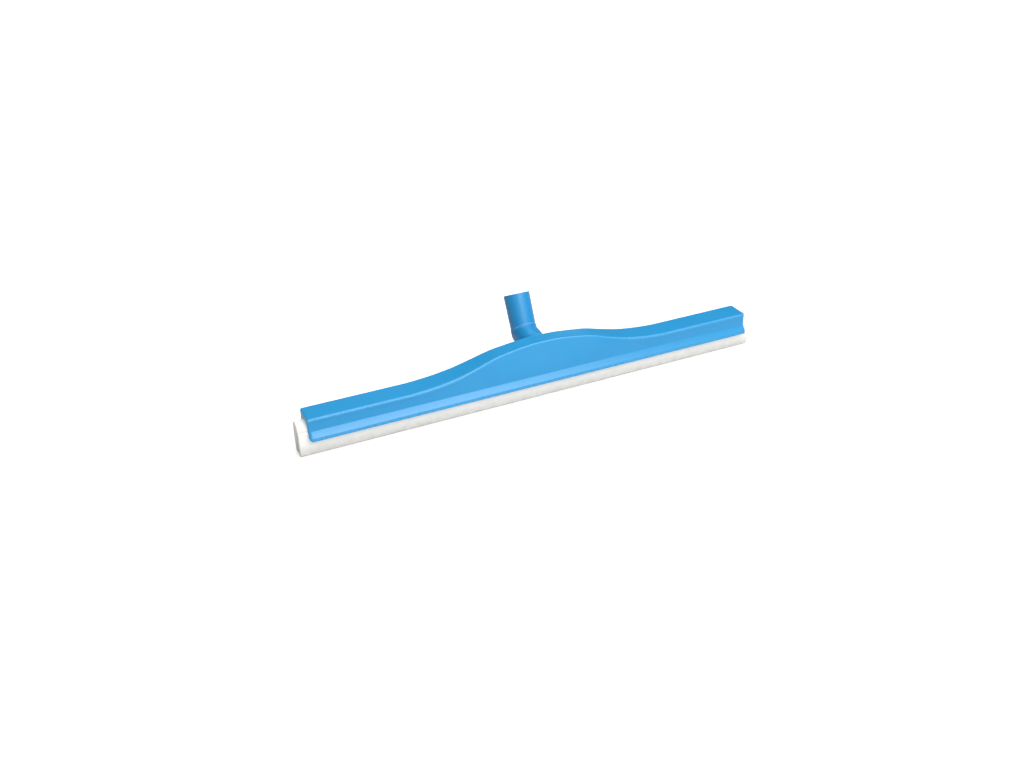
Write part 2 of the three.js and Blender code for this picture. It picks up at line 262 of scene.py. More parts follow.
def arc(cr, ch, r, a0, a1, n=4):
    """Points of a rounded corner in (radius, along) space."""
    return [(cr + r * math.cos(math.radians(a0 + (a1 - a0) * k / n)),
             ch + r * math.sin(math.radians(a0 + (a1 - a0) * k / n))) for k in range(n + 1)]


def boolean(target, cutter, op):
    m = target.modifiers.new("cut", "BOOLEAN")
    m.operation, m.solver, m.object = op, "EXACT", cutter
    dg = bpy.context.evaluated_depsgraph_get()
    me = bpy.data.meshes.new_from_object(target.evaluated_get(dg))
    target.modifiers.clear()
    old = target.data
    target.data = me
    bpy.data.meshes.remove(old)
    bpy.data.objects.remove(cutter)


# ------------------------------------------------------------------ materials
def new_material(name):
    m = bpy.data.materials.new(name)
    m.use_nodes = True
    nt = m.node_tree
    nt.nodes.clear()
    out = nt.nodes.new("ShaderNodeOutputMaterial")
    bsdf = nt.nodes.new("ShaderNodeBsdfPrincipled")
    nt.links.new(bsdf.outputs[0], out.inputs[0])
    tc = nt.nodes.new("ShaderNodeTexCoord")
    return m, nt, bsdf, tc


def node(nt, kind, **values):
    n = nt.nodes.new(kind)
    for k, v in values.items():
        if k in n.inputs.keys():
            n.inputs[k].default_value = v
        else:
            setattr(n, k, v)
    return n


def noise(nt, tc, scale, detail=2.0, rough=0.5, stretch=None):
    n = node(nt, "ShaderNodeTexNoise")
    n.inputs["Scale"].default_value = scale
    n.inputs["Detail"].default_value = detail
    n.inputs["Roughness"].default_value = rough
    src = tc.outputs["Object"]
    if stretch:
        mp = node(nt, "ShaderNodeMapping")
        mp.inputs["Scale"].default_value = stretch
        nt.links.new(src, mp.inputs["Vector"])
        src = mp.outputs["Vector"]
    nt.links.new(src, n.inputs["Vector"])
    return n.outputs["Fac"]


def remap(nt, value, a, b, c, d):
    n = node(nt, "ShaderNodeMapRange")
    n.inputs["From Min"].default_value = a
    n.inputs["From Max"].default_value = b
    n.inputs["To Min"].default_value = c
    n.inputs["To Max"].default_value = d
    nt.links.new(value, n.inputs["Value"])
    return n.outputs["Result"]


def math_node(nt, op, a, b):
    n = node(nt, "ShaderNodeMath", operation=op)
    for i, v in enumerate((a, b)):
        if isinstance(v, (int, float)):
            n.inputs[i].default_value = v
        else:
            nt.links.new(v, n.inputs[i])
    return n.outputs[0]


def mix(nt, fac, a, b):
    n = node(nt, "ShaderNodeMix", data_type="RGBA")
    for sock, v in ((n.inputs[0], fac), (n.inputs[6], a), (n.inputs[7], b)):
        if isinstance(v, (int, float)):
            sock.default_value = v
        elif isinstance(v, (tuple, list)):
            sock.default_value = (*v, 1.0) if len(v) == 3 else v
        else:
            nt.links.new(v, sock)
    return n.outputs[2]


def bump(nt, height, strength, distance, before=None):
    n = node(nt, "ShaderNodeBump")
    n.inputs["Strength"].default_value = strength
    n.inputs["Distance"].default_value = distance
    nt.links.new(height, n.inputs["Height"])
    if before is not None:
        nt.links.new(before, n.inputs["Normal"])
    return n.outputs["Normal"]


def blue_plastic(name, base, deep, pale, r0, r1):
    """Satin moulded polypropylene: slow colour drift, flow marks, fine spark-eroded grain, and edges painted paler,
    partly rubbed wear and partly a painted highlight.
    """
    m, nt, bsdf, tc = new_material(name)
    drift = remap(nt, noise(nt, tc, 22, 3), 0.3, 0.7, 0, 1)
    col = mix(nt, drift, base, deep)
    flow = remap(nt, noise(nt, tc, 1.0, 3, 0.5, (14, 34, 34)), 0.42, 0.75, 0, 0.045)
    col = mix(nt, flow, col, pale)
    # painted highlight: where the mesh's edge value is high, the colour is mixed towards the pale blue along rounded
    # creases, skirt corners, the neck's ledge and rim; partly rubbed wear
    at = node(nt, "ShaderNodeAttribute", attribute_name="edge")
    rub_and_highlight = math_node(nt, "MULTIPLY", at.outputs["Fac"], remap(nt, noise(nt, tc, 320, 3, 0.6), 0.35, 0.65, 0.10, 0.26))
    col = mix(nt, rub_and_highlight, col, pale)
    nt.links.new(col, bsdf.inputs["Base Color"])
    scuff = noise(nt, tc, 240, 3, 0.5)
    rough = remap(nt, scuff, 0.3, 0.7, r0 + 0.01, r1 - 0.01)
    rough = math_node(nt, "ADD", rough, math_node(nt, "MULTIPLY", at.outputs["Fac"], -0.04))
    nt.links.new(rough, bsdf.inputs["Roughness"])
    grain = bump(nt, noise(nt, tc, 2600, 2, 0.5), 0.015, 0.00004)
    wave = bump(nt, noise(nt, tc, 24, 1, 0.4), 0.006, 0.0012, grain)
    nt.links.new(wave, bsdf.inputs["Normal"])
    bsdf.inputs["IOR"].default_value = 1.5
    return m


def foam_rubber(name, base, shaded_grey, pore, cut=False):
    """Closed-cell foam rubber: skinned on its faces with fine pores, open cells where it is cut."""
    m, nt, bsdf, tc = new_material(name)
    cells = node(nt, "ShaderNodeTexVoronoi", feature="F1")
    cells.inputs["Scale"].default_value = 1500 if not cut else 1100
    nt.links.new(tc.outputs["Object"], cells.inputs["Vector"])
    drift = remap(nt, noise(nt, tc, 30, 4), 0.3, 0.7, 0, 1)
    col = mix(nt, drift, base, tuple(0.975 * c for c in base))
    sep = node(nt, "ShaderNodeSeparateXYZ")
    nt.links.new(tc.outputs["Object"], sep.inputs[0])
    # painted shade: the colour turns greyer towards the bottom, from 17 mm down to 2 mm, in patches
    low = remap(nt, sep.outputs[2], 0.002, 0.017, 0.85, 0.0)
    low = math_node(nt, "MULTIPLY", low, remap(nt, noise(nt, tc, 120, 4, 0.6), 0.3, 0.7, 0.5, 1.0))
    col = mix(nt, low, col, shaded_grey)
    dots = remap(nt, cells.outputs["Distance"], 0.0, 0.45, 0.55 if cut else 0.28, 0.0)
    dots = math_node(nt, "MULTIPLY", dots, remap(nt, noise(nt, tc, 700, 2), 0.45, 0.6, 0.0, 1.0))
    col = mix(nt, dots, col, pore)
    nt.links.new(col, bsdf.inputs["Base Color"])
    nt.links.new(remap(nt, noise(nt, tc, 260, 3), 0.3, 0.7, 0.78, 0.94), bsdf.inputs["Roughness"])
    b = bump(nt, cells.outputs["Distance"], 0.45 if cut else 0.22, 0.0003 if cut else 0.00015)
    b = bump(nt, noise(nt, tc, 1.0, 4, 0.6, (70, 420, 420)), 0.12, 0.0004, b)
    nt.links.new(b, bsdf.inputs["Normal"])
    bsdf.inputs["Sheen Weight"].default_value = 0.12
    bsdf.inputs["Sheen Roughness"].default_value = 0.5
    return m


def white_plastic(name, base, deep, r0, r1, along=(30, 2600, 2600)):
    m, nt, bsdf, tc = new_material(name)
    col = mix(nt, remap(nt, noise(nt, tc, 40, 3), 0.3, 0.7, 0, 1), base, deep)
    nt.links.new(col, bsdf.inputs["Base Color"])
    lines = noise(nt, tc, 1.0, 3, 0.5, along)
    nt.links.new(remap(nt, lines, 0.3, 0.7, r0, r1), bsdf.inputs["Roughness"])
    nt.links.new(bump(nt, lines, 0.16, 0.0001), bsdf.inputs["Normal"])
    return m


def steel(name):
    m, nt, bsdf, tc = new_material(name)
    col = mix(nt, remap(nt, noise(nt, tc, 300, 3), 0.3, 0.7, 0, 1), (0.56, 0.57, 0.59), (0.44, 0.45, 0.47))
    nt.links.new(col, bsdf.inputs["Base Color"])
    bsdf.inputs["Metallic"].default_value = 1.0
    lines = noise(nt, tc, 1.0, 3, 0.5, (400, 6000, 400))
    nt.links.new(remap(nt, lines, 0.3, 0.7, 0.24, 0.42), bsdf.inputs["Roughness"])
    nt.links.new(bump(nt, lines, 0.12, 0.00005), bsdf.inputs["Normal"])
    return m


FRAME_BLUE = blue_plastic("frame_blue_pp", (0.021, 0.308, 0.634), (0.019, 0.297, 0.615), (0.16, 0.46, 0.78), 0.29, 0.33)
NECK_BLUE = blue_plastic("neck_blue_pp", (0.018, 0.280, 0.600), (0.016, 0.264, 0.575), (0.16, 0.46, 0.78), 0.26, 0.31)
FOAM = foam_rubber("foam_rubber_skin", (0.93, 0.91, 0.87), (0.55, 0.54, 0.505), (0.70, 0.69, 0.65))
# the cut ends: open cells, and a darker base colour that is painted shade
FOAM_CUT_SHADED = foam_rubber("foam_rubber_cut_end_shaded", (0.70, 0.685, 0.645), (0.60, 0.59, 0.55), (0.46, 0.45, 0.42), cut=True)
CARRIER = white_plastic("carrier_white_pp", (0.87, 0.85, 0.80), (0.855, 0.835, 0.785), 0.45, 0.58)
WASHER = white_plastic("washer_acetal", (0.80, 0.79, 0.75), (0.77, 0.755, 0.71), 0.3, 0.4, (900, 900, 900))
STEEL = steel("clip_spring_steel")


# ------------------------------------------------------------------ the frame
def skirt_floor(x):
    """Lower edge of the skirt: its corner is rounded at the end where the cassette is pushed in."""
    r = SKIRT_R if x < 0 else 0.7
    d = abs(x) - (FRAME_L - r)
    if d <= 0:
        return SKIRT_Z
    d = min(d, r)
    return SKIRT_Z + r - math.sqrt(max(0.0, r ** 2 - d ** 2))


def slope_y(z):
    """Front outline of the skirt above its upright lip, as a half width."""
    if z <= LIP_TOP:
        return SKIRT_HALF
    return SKIRT_HALF + (12.62 - SKIRT_HALF) * min(1.0, (z - LIP_TOP) / (32.4 - LIP_TOP))


CHANNEL = [(-11.3, 26.2, 0, 1, 0), (-11.1, 29.2, 0, 1, 0), (-10.9, 30.5, .3, 2, 0), (-9.85, 31.3, .3, 2, 0),
           (-9.85, 32.1, .3, 2, 0), (-10.3, 32.9, .3, 2, 0), (-9.15, 36.0, 0, 1, 0), (-7.55, 38.75, 0, 1, 0),
           (-5.7, 40.7, 0, 1, 0), (-3.5, 41.6, 0, 1, 0), (0, 41.9, 0, 1, 0)]


def inward(p):
    """Unit normals of a closed ring of (y, z) points, towards the material."""
    a, b = p - np.roll(p, 1, 0), np.roll(p, -1, 0) - p
    na, nb = np.stack([-a[:, 1], a[:, 0]], 1), np.stack([-b[:, 1], b[:, 0]], 1)
    na /= np.maximum(np.linalg.norm(na, axis=1, keepdims=True), 1e-9)
    nb /= np.maximum(np.linalg.norm(nb, axis=1, keepdims=True), 1e-9)
    nn = na + nb
    nn /= np.maximum(np.linalg.norm(nn, axis=1, keepdims=True), 1e-9)
    area = 0.5 * np.sum(p[:, 0] * np.roll(p[:, 1], -1) - np.roll(p[:, 0], -1) * p[:, 1])
    return -nn if area < 0 else nn


def quarter(d, r):
    """How far a corner of radius r has turned in, at distance d from the end."""
    return 0.0 if d >= r else r - math.sqrt(max(0.0, r * r - (r - d) ** 2))


CHANNEL_AT = [(21.4, 11.3), (29.2, 11.1), (31.3, 9.9), (33, 10.3), (36, 9.15), (38.75, 7.55), (40.7, 5.7), (41.9, 0), (60, 0)]


def frame_ring(x):
    h = arch(x)
    d = FRAME_L - abs(x)
    zb = skirt_floor(x)
    tz = top_z(h)
    knee = max(LIP_TOP, zb + 1.6)
    # the last value of each corner is how much paler it is painted: rubbed wear and a painted highlight
    pts = [(-11.3, zb, .45, 3, 0.2), (-slope_y(zb), zb, .8, 4, 1.0), (-slope_y(knee), knee, .9, 4, .7),
           (-12.62, 32.4, 1.1, 5, 0.0)]
    crease_r = 3.1 - 1.2 * h
    zs = np.linspace(GROOVE_Z, tz - crease_r * 1.25, 9)
    pts += [(front_y(h, z), z, 0, 1, 0.0) for z in zs]
    pts.append((front_y(h, tz), tz, crease_r, 10, 1.0))
    pts.append((back_y(h, tz), tz, 3.4, 10, .6))
    zs = np.linspace(tz - 4.2, 34.0, 7)
    pts += [(back_y(h, z), z, 0, 1, 0.0) for z in zs]
    pts += [(BACK_Y, 27.6, 0, 1, 0.0), (BACK_Y, zb, .9, 4, 1.0), (11.3, zb, .45, 3, 0.2)]
    outer_count = len(fillet(pts))
    inner = CHANNEL + [(-y, z, r, s, e) for y, z, r, s, e in reversed(CHANNEL[:-1])]
    pts += [(y, max(z, zb + 0.9), r, s, e) for y, z, r, s, e in reversed(inner)]
    ring = np.array(fillet(pts))
    if d < 4.6:
        p = ring[:, :2]
        nn = inward(p)
        outer = np.arange(len(p)) < outer_count
        outer[:4] = False
        outer[outer_count - 4:] = False
        # the front corner is rounded in plan at the cassette's entry, most at the skirt; every outer edge is softened
        wall = np.abs(p[:, 0]) - np.interp(p[:, 1], [q[0] for q in CHANNEL_AT], [q[1] for q in CHANNEL_AT])
        plan = np.interp(p[:, 1], [21, 26, 33, 41, 48], [4.4, 4.2, 2.8, 1.8, 1.2]) if x < 0 else np.interp(p[:, 1], [21, 33, 41, 48], [1.0, 1.0, 2.2, 4.3])
        front = outer & (p[:, 0] < 0)
        turn = np.array([quarter(d, q) for q in plan]) / plan * np.minimum(plan, 0.8 * np.maximum(wall, 0.5))
        soft = np.where(p[:, 1] > 42, quarter(d, 1.5), quarter(d, 0.8))
        share = np.clip(-p[:, 0] / 9.0, 0, 1)
        y = p[:, 0] + np.where(front, turn * share, 0.0)
        y += np.where(outer & (p[:, 0] >= 0), nn[:, 0] * soft, np.where(outer, 0.0, 0.4 * nn[:, 0] * soft))
        z = p[:, 1] + np.where(outer, nn[:, 1] * soft, 0.4 * nn[:, 1] * soft)
        ring[:, 0], ring[:, 1] = y, z
        ring[:, 2] *= min(1.0, d / 2.0)
    # painted highlight: the paler painting of the corners fades towards the right end
    ring[:, 2] *= float(np.interp(x, [120.0, 260.0], [1.0, 0.45]))
    return [tuple(r) for r in ring]


def frame_stations():
    xs = [0.0]
    while xs[-1] < 176:
        xs.append(xs[-1] + 4.0)
    xs += [190, 215, 240, 262, 278, FRAME_L - 4.7]
    for k in range(1, 17):
        xs.append(FRAME_L - 4.5 * (1 - math.sin(math.radians(90 * k / 16))))
    return [-x for x in reversed(xs[1:])] + xs


verts, faces, edge = loft([(x, frame_ring(x)) for x in frame_stations()])
body = make_object("frame_moulding", verts, faces, FRAME_BLUE, edge)


def core_ring(x):
    h = arch(x)
    tz = top_z(h) - WALL
    zs = [42.4 + (tz - 42.4) * f for f in (.2, .4, .6, .8)]
    pts = [(-5.9, 39.6, 0, 1, 0)] + [(front_y(h, z) + WALL, z, 0, 1, 0) for z in zs]
    pts += [(front_y(h, tz) + WALL, tz, 1.6, 4, 0), (back_y(h, tz) - WALL - .6, tz, 1.8, 4, 0)]
    pts += [(back_y(h, z) - WALL, z, 0, 1, 0) for z in reversed(zs)] + [(5.9, 39.6, 0, 1, 0)]
    return fillet(pts)


cell_verts, cell_faces = [], []
for a, b in ((-24, 24), (24 + RIB, 50), (50 + RIB, 76), (76 + RIB, 102)):
    for s in ((1,) if a < 0 else (1, -1)):
        v, f, _ = loft([(s * x, core_ring(x)) for x in np.linspace(a, b, 9 if a < 0 else 6)])
        base = len(cell_verts)
        cell_verts += v
        cell_faces += [tuple(i + base for i in q) for q in f]
boolean(body, make_object("cells", cell_verts, cell_faces, FRAME_BLUE), "DIFFERENCE")

boss = ([(0, -1.0), (BOSS_R, -1.0), (BOSS_R, 2.0)] + arc(BOSS_R - .25, BOSS_RIM - .25, .25, 0, 90, 3)
        + [(RECESS_R + .2, BOSS_RIM), (RECESS_R, BOSS_RIM - .2), (RECESS_R, BOSS_FACE), (9.2, BOSS_FACE), (0, BOSS_FACE)])
v, f = turned(boss, AXIS, AX, 96)
boolean(body, make_object("boss", v, f, FRAME_BLUE), "UNION")
v, f = turned([(0, -1.2), (12.6, -1.2), (12.6, -.5), (0, -.5)], AXIS, AX, 96)
boolean(body, make_object("seat", v, f, FRAME_BLUE), "UNION")
v, f = turned([(0, -16), (11.4, -16), (11.4, -1.2), (8.3, -1.2), (8.3, BOSS_FACE - .4), (8.7, BOSS_FACE), (8.7, BOSS_FACE + 2), (0, BOSS_FACE + 2)], AXIS, AX, 96)
boolean(body, make_object("bore", v, f, FRAME_BLUE), "DIFFERENCE")
clear = [(-5.6, 36), (-5.6, 40.7), (-3.4, 41.65), (0, 41.95), (3.4, 41.65), (5.6, 40.7), (5.6, 36)]
v, f, _ = loft([(x, [(y, z, 0) for y, z in clear]) for x in (-20.0, 20.0)])
boolean(body, make_object("clear", v, f, FRAME_BLUE), "DIFFERENCE")
body.data.polygons.foreach_set("use_smooth", [True] * len(body.data.polygons))
body.data.set_sharp_from_angle(angle=math.radians(30))
wn = body.modifiers.new("weighted", "WEIGHTED_NORMAL")
wn.keep_sharp = True
wn.weight = 60
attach(body, "frame")
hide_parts("squeegee_frame")


# ------------------------------------------------------------------ the cassette
def bar(name, pts, mats, half, corner, angle=34, wave=0.0, cut_ends=False, phase=0.0, sole=0.0, joint=30.1):
    """An extruded strip. Its ends are rounded in plan; its faces may waver by a few tenths, as foam does."""
    ring0 = np.array(fillet(pts))
    p = ring0[:, :2]
    nn = inward(p)
    outside = np.abs(p[:, 0]) > 4.0
    at_joint = np.abs(p[:, 1] - joint) < 0.35
    xs = list(np.linspace(-(half - corner), half - corner, 122 if wave else 42))
    sections = []
    for x in xs:
        amp = wave * (0.5 * math.sin(x / 17.0 + phase) + 0.3 * math.sin(x / 7.3 + 2 * phase) + 0.2 * math.sin(x / 41.0))
        low = np.clip((20.0 - p[:, 1]) / 20.0, 0, 1) if wave else np.zeros(len(p))
        q = p.copy()
        q[:, 0] += amp * low * np.clip(p[:, 1] / 1.0, 0, 1)
        sections.append((x, [(y, z, e) for (y, z), e in zip(q, ring0[:, 2])]))
    tips = []
    for k in range(1, 10):
        d = corner * (1 - math.sin(math.radians(90 * k / 9)))
        q = p.copy()
        q[:, 0] += nn[:, 0] * np.where(outside, quarter(d, corner), quarter(d, 0.4))
        q[:, 1] += nn[:, 1] * np.where(at_joint, 0.0, quarter(d, 0.6))
        if sole:
            q[:, 1] = np.maximum(q[:, 1], quarter(d, sole))
        q[:, 1] = np.maximum(q[:, 1], 0)
        tips.append((half - d, [(y, z, max(e, .7)) for (y, z), e in zip(q, ring0[:, 2])]))
    sections = [(-x, r) for x, r in reversed(tips)] + sections + tips
    v, f, e = loft(sections)
    idx = [0] * len(f)
    if cut_ends:
        idx[-1] = idx[-2] = 1
    return make_object(name, v, f, mats, e, angle, idx)


crown_half = [(-1.6, 23.5, .4, 3, 0), (-1.6, 30.1, .1, 2, 0), (-10.4, 30.1, 0, 1, 0), (-10.1, 30.7, .5, 3, 0), (-9.6, 31.2, .5, 3, 0),
              (-9.5, 32.2, .5, 3, 0), (-9.95, 33.0, .6, 3, .3), (-8.75, 36.0, 2.5, 4, 0), (-7.15, 38.6, 1.6, 4, 0),
              (-5.3, 40.35, 1.2, 4, 0), (-3.1, 41.2, 1.2, 4, 0)]
crown = crown_half + [(0, 41.5, 0, 1, 0)] + [(-y, z, r, s, e) for y, z, r, s, e in reversed(crown_half)]
carrier = bar("carrier_rail", crown, CARRIER, CASS_L, 1.6)
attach(carrier, "cassette")
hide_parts("cassette_carrier")


def lip_points(s):
    pts = [(-3.3, 0, .6, 3, .3), (-2.85, 1.0, .3, 2, 0), (-2.55, 6, 0, 1, 0), (-2.2, 13, 0, 1, 0), (-1.75, 23.5, .3, 2, 0), (-1.9, 30.1, .1, 2, 0),
           (-10.4, 30.1, 0, 1, 0), (-10.65, 28.4, .6, 3, 0), (-10.8, 24, 0, 1, 0), (-10.8, 18.5, 0, 1, 0), (-10.55, 11, 0, 1, 0),
           (-10.1, 5, 0, 1, 0), (-9.7, 1.9, 1.2, 4, .3), (-8.4, 0, 1.4, 6, .3)]
    pts = [(s * y, z, r, g, e) for y, z, r, g, e in pts]
    return pts if s > 0 else pts[::-1]


for s, cad, name, phase in ((1, "front_foam_lip", "foam_lip_front", 0.4), (-1, "rear_foam_lip", "foam_lip_rear", 2.1)):
    lip = bar(name, lip_points(s), [FOAM, FOAM_CUT_SHADED], CASS_L, 1.6, wave=0.2, cut_ends=True, phase=phase, sole=1.6)
    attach(lip, "cassette")
    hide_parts(cad)


# ------------------------------------------------------------------ the neck
ELBOW = AXIS + AX * ELBOW_AT
RIM = ELBOW + UP * SOCKET_LEN
N = 144


def cylinder(p, a, d, near, far, r, taper=0.0):
    """Distance to a round rod about the line (a, d) with a hemispherical near end; it widens by taper per millimetre."""
    t = (p - a) @ d
    q = np.clip(t, near, far)
    return np.linalg.norm(p - a - q[..., None] * d, axis=-1) - (r + taper * q)


def neck_field(p):
    """Signed distance to the outside: a leg and a socket joined at the elbow with a small radius between them."""
    a = cylinder(p, AXIS, AX, 0, ELBOW_AT - 1.5, LEG_R + 0.15 + 0.35 * np.clip(((p - AXIS) @ AX - LEG_FROM - 1) / 6, 0, 1))
    b = cylinder(p, ELBOW, UP, 0, SOCKET_LEN + 30, BALL_R + 0.35, (SOCKET_R + 0.1 - BALL_R) / SOCKET_LEN)
    r = 0.9
    u, v = np.maximum(r - a, 0), np.maximum(r - b, 0)
    joined = np.maximum(r, np.minimum(a, b)) - np.sqrt(u * u + v * v)
    # a low ledge on the socket, where the leg's mould half ends
    ledge = np.maximum(b - 0.5, a - 1.9)
    return np.minimum(joined, ledge)


def outline(centre, normal):
    """Ring where the field is zero, in the plane through centre across normal."""
    x, y, _ = basis(normal)
    th = 2 * math.pi * np.arange(N) / N
    d = np.cos(th)[:, None] * x + np.sin(th)[:, None] * y
    lo, hi = np.full(N, 2.0), np.full(N, 26.0)
    for _ in range(34):
        mid = (lo + hi) / 2
        inside = neck_field(centre + d * mid[:, None]) < 0
        lo, hi = np.where(inside, mid, lo), np.where(inside, hi, mid)
    return [tuple(q) for q in centre + d * ((lo + hi) / 2)[:, None]]


rings = []
edges = []


def add_ring(r, e=0.0):
    rings.append(r)
    edges.extend([e] * N if np.isscalar(e) else list(e))


def ledge_painted_highlight(r):
    """The ledge's upper rim is painted paler: a painted highlight along the arc where the leg meets the socket."""
    p = np.array(r)
    a = np.linalg.norm(p - AXIS - ((p - AXIS) @ AX)[:, None] * AX, axis=1) - LEG_R - 0.5
    return 2.6 * np.exp(-((a - 1.75) / 0.42) ** 2)


for r, h in [(2.5, JOURNAL_END), (JOURNAL_R - 1.2, JOURNAL_END), (JOURNAL_R - .9, JOURNAL_END + .12), (JOURNAL_R - .2, JOURNAL_END + .75),
             (JOURNAL_R, JOURNAL_END + 1.1), (JOURNAL_R, CLIP_FROM - .35), (JOURNAL_R - .12, CLIP_FROM - .25), (CLIP_GROOVE_R + .1, CLIP_FROM - .25),
             (CLIP_GROOVE_R, CLIP_FROM - .15), (CLIP_GROOVE_R, CLIP_TO + .15), (CLIP_GROOVE_R + .1, CLIP_TO + .25), (JOURNAL_R - .12, CLIP_TO + .25),
             (JOURNAL_R, CLIP_TO + .35), (JOURNAL_R, LEG_FROM - .5), (JOURNAL_R + .15, LEG_FROM - .15), (JOURNAL_R + .5, LEG_FROM), (12, LEG_FROM)]:
    add_ring(circle(AXIS + AX * h, r, AX, N))
for r, h in arc(LEG_R - .1, LEG_FROM + .25, .25, -90, 0, 4):
    add_ring(circle(AXIS + AX * h, r, AX, N), .3)
bis = (UP - AX) / np.linalg.norm(UP - AX)
D = 21.0                                       # the fan of sections turns about a point outside the inner corner
half_turn = (math.pi / 2 - AX_TILT - UP_TILT) / 2
Q = ELBOW + bis * (D / math.cos(half_turn))
tangent = D * math.tan(half_turn)
for t in np.linspace(LEG_FROM + 1.0, ELBOW_AT - tangent - .5, 8):
    add_ring(outline(AXIS + AX * t, AX))
for k in range(91):
    ang = 2 * half_turn * k / 90
    # turn AX towards UP about X
    c, s_ = math.cos(ang), math.sin(ang)
    n3 = np.array([0.0, AX[1] * c - AX[2] * s_, AX[1] * s_ + AX[2] * c])
    out3 = np.array([0.0, n3[2], -n3[1]])      # away from Q, in the plane
    ring = outline(Q + out3 * D, n3)
    add_ring(ring, ledge_painted_highlight(ring) if k > 45 else 0.0)
for t in [*np.linspace(tangent + .6, 27, 44), *np.linspace(29, SOCKET_LEN - 6, 10)]:
    ring = outline(ELBOW + UP * t, UP)
    add_ring(ring, ledge_painted_highlight(ring) if t < 27 else 0.0)
# the mouth and its rounded rim
for t, r in ((SOCKET_LEN - 3.0, SOCKET_R + .4), (SOCKET_LEN - 1.2, SOCKET_R + .4)):
    add_ring(circle(ELBOW + UP * t, r, UP, N))
# painted highlight: the rounded rim is painted paler, with some rubbed wear
for r, h in arc(SOCKET_R - .1, SOCKET_LEN - .5, .5, 0, 90, 6):
    add_ring(circle(ELBOW + UP * h, r, UP, N), .9)
for r, h in arc(BORE_R + 1.5, SOCKET_LEN - .5, .5, 90, 180, 4):
    add_ring(circle(ELBOW + UP * h, r, UP, N), .9)
# inside: lead-in, then a round handle thread, then the plain end
PITCH, DEPTH = 4.6, 1.15
x3, y3, _ = basis(UP)
th = 2 * math.pi * np.arange(N) / N
depth = 1.0
start, stop = 3.0, 33.0
while depth < SOCKET_DEPTH - 9:
    turn = (depth / PITCH - th / (2 * math.pi)) % 1.0
    ridge = np.clip((0.5 - np.abs(turn - 0.5)) * 4.2 - 0.75, 0, 1)
    ridge = ridge * ridge * (3 - 2 * ridge)
    fade = np.clip((depth - start) / 2.5, 0, 1) * np.clip((stop - depth) / 2.5, 0, 1)
    lead = max(0.0, 1.0 - (depth - 1.0) / 2.2)
    r = BORE_R + 0.9 * lead - DEPTH * ridge * fade
    c = ELBOW + UP * (SOCKET_LEN - depth)
    add_ring([tuple(q) for q in c + (np.cos(th) * r)[:, None] * x3 + (np.sin(th) * r)[:, None] * y3])
    depth += PITCH / 13
for dpt, r in ((40, BORE_R), (44, BORE_R - .1), (46.6, BORE_R - .2), (47.6, BORE_R - .7), (48.0, BORE_R - 1.9), (48.0, 5.0)):
    add_ring(circle(ELBOW + UP * (SOCKET_LEN - dpt), r, UP, N))
v, f = rings_to_mesh(rings, closed_start=AXIS + AX * JOURNAL_END, closed_end=ELBOW + UP * (SOCKET_LEN - SOCKET_DEPTH))
neck = make_object("neck_elbow", v, f, NECK_BLUE, edges + [0.0, 0.0], 38)
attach(neck, "neck")
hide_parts("swivel_neck")

prof = (arc(WASHER_R - .3, 6.8 - .3, .3, 0, 90, 3) + arc(8.4 + .3, 6.8 - .3, .3, 90, 180, 3)
        + arc(8.4 + .3, 5.6 + .3, .3, 180, 270, 3) + arc(WASHER_R - .3, 5.6 + .3, .3, 270, 360, 3))
v, f = turned(prof, AXIS, AX, 96, loop=True)
washer = make_object("thrust_washer", v, f, WASHER)
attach(washer, "neck")
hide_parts("neck_thrust_washer")

# open spring ring in the journal's groove, its gap at the bottom
xb, yb, db = basis(AX)
ri, ro, t0, t1 = CLIP_GROOVE_R + .3, CLIP_R, CLIP_FROM, CLIP_TO
sect = (arc(ro - .2, t1 - .2, .2, 0, 90, 2) + arc(ri + .2, t1 - .2, .2, 90, 180, 2)
        + arc(ri + .2, t0 + .2, .2, 180, 270, 2) + arc(ro - .2, t0 + .2, .2, 270, 360, 2))
down = -1 if yb[2] > 0 else 1
crings = []
for k in range(81):
    a = math.radians(24 + (360 - 48) * k / 80)
    # the angle runs from just past straight down, round the top, to the other side of the gap
    dirv = down * math.cos(a) * yb + math.sin(a) * xb
    crings.append([tuple(AXIS + dirv * r + AX * t) for r, t in sect])
v, f = [p for r in crings for p in r], []
m = len(sect)
for k in range(80):
    for i in range(m):
        j = (i + 1) % m
        f.append((k * m + i, k * m + j, (k + 1) * m + j, (k + 1) * m + i))
f.append(tuple(range(m)))
f.append(tuple(80 * m + i for i in reversed(range(m))))
clip = make_object("retaining_clip", v, f, STEEL)
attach(clip, "neck")
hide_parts("neck_retaining_clip")

# ------------------------------------------------------------------ the studio
# The floor looks white to the camera, as a cut-out background does, and gives the object the light of a table
# that is pale in front and greyer behind.
m, nt, bsdf, tc = new_material("studio_floor")
where = node(nt, "ShaderNodeSeparateXYZ")
nt.links.new(tc.outputs["Object"], where.inputs[0])
nt.links.new(remap(nt, where.outputs[1], -0.15, 0.35, 0.75, 0.35), bsdf.inputs["Base Color"])
bsdf.inputs["Roughness"].default_value = 0.85
bsdf.inputs["Specular IOR Level"].default_value = 0.1
white = nt.nodes.new("ShaderNodeBsdfPrincipled")
white.inputs["Base Color"].default_value = (0.86, 0.86, 0.86, 1)
white.inputs["Roughness"].default_value = 0.85
white.inputs["Specular IOR Level"].default_value = 0.1
white.inputs["Emission Color"].default_value = (1, 1, 1, 1)
white.inputs["Emission Strength"].default_value = 0.38
seen = nt.nodes.new("ShaderNodeMixShader")
path = nt.nodes.new("ShaderNodeLightPath")
nt.links.new(path.outputs["Is Camera Ray"], seen.inputs[0])
nt.links.new(bsdf.outputs[0], seen.inputs[1])
nt.links.new(white.outputs[0], seen.inputs[2])
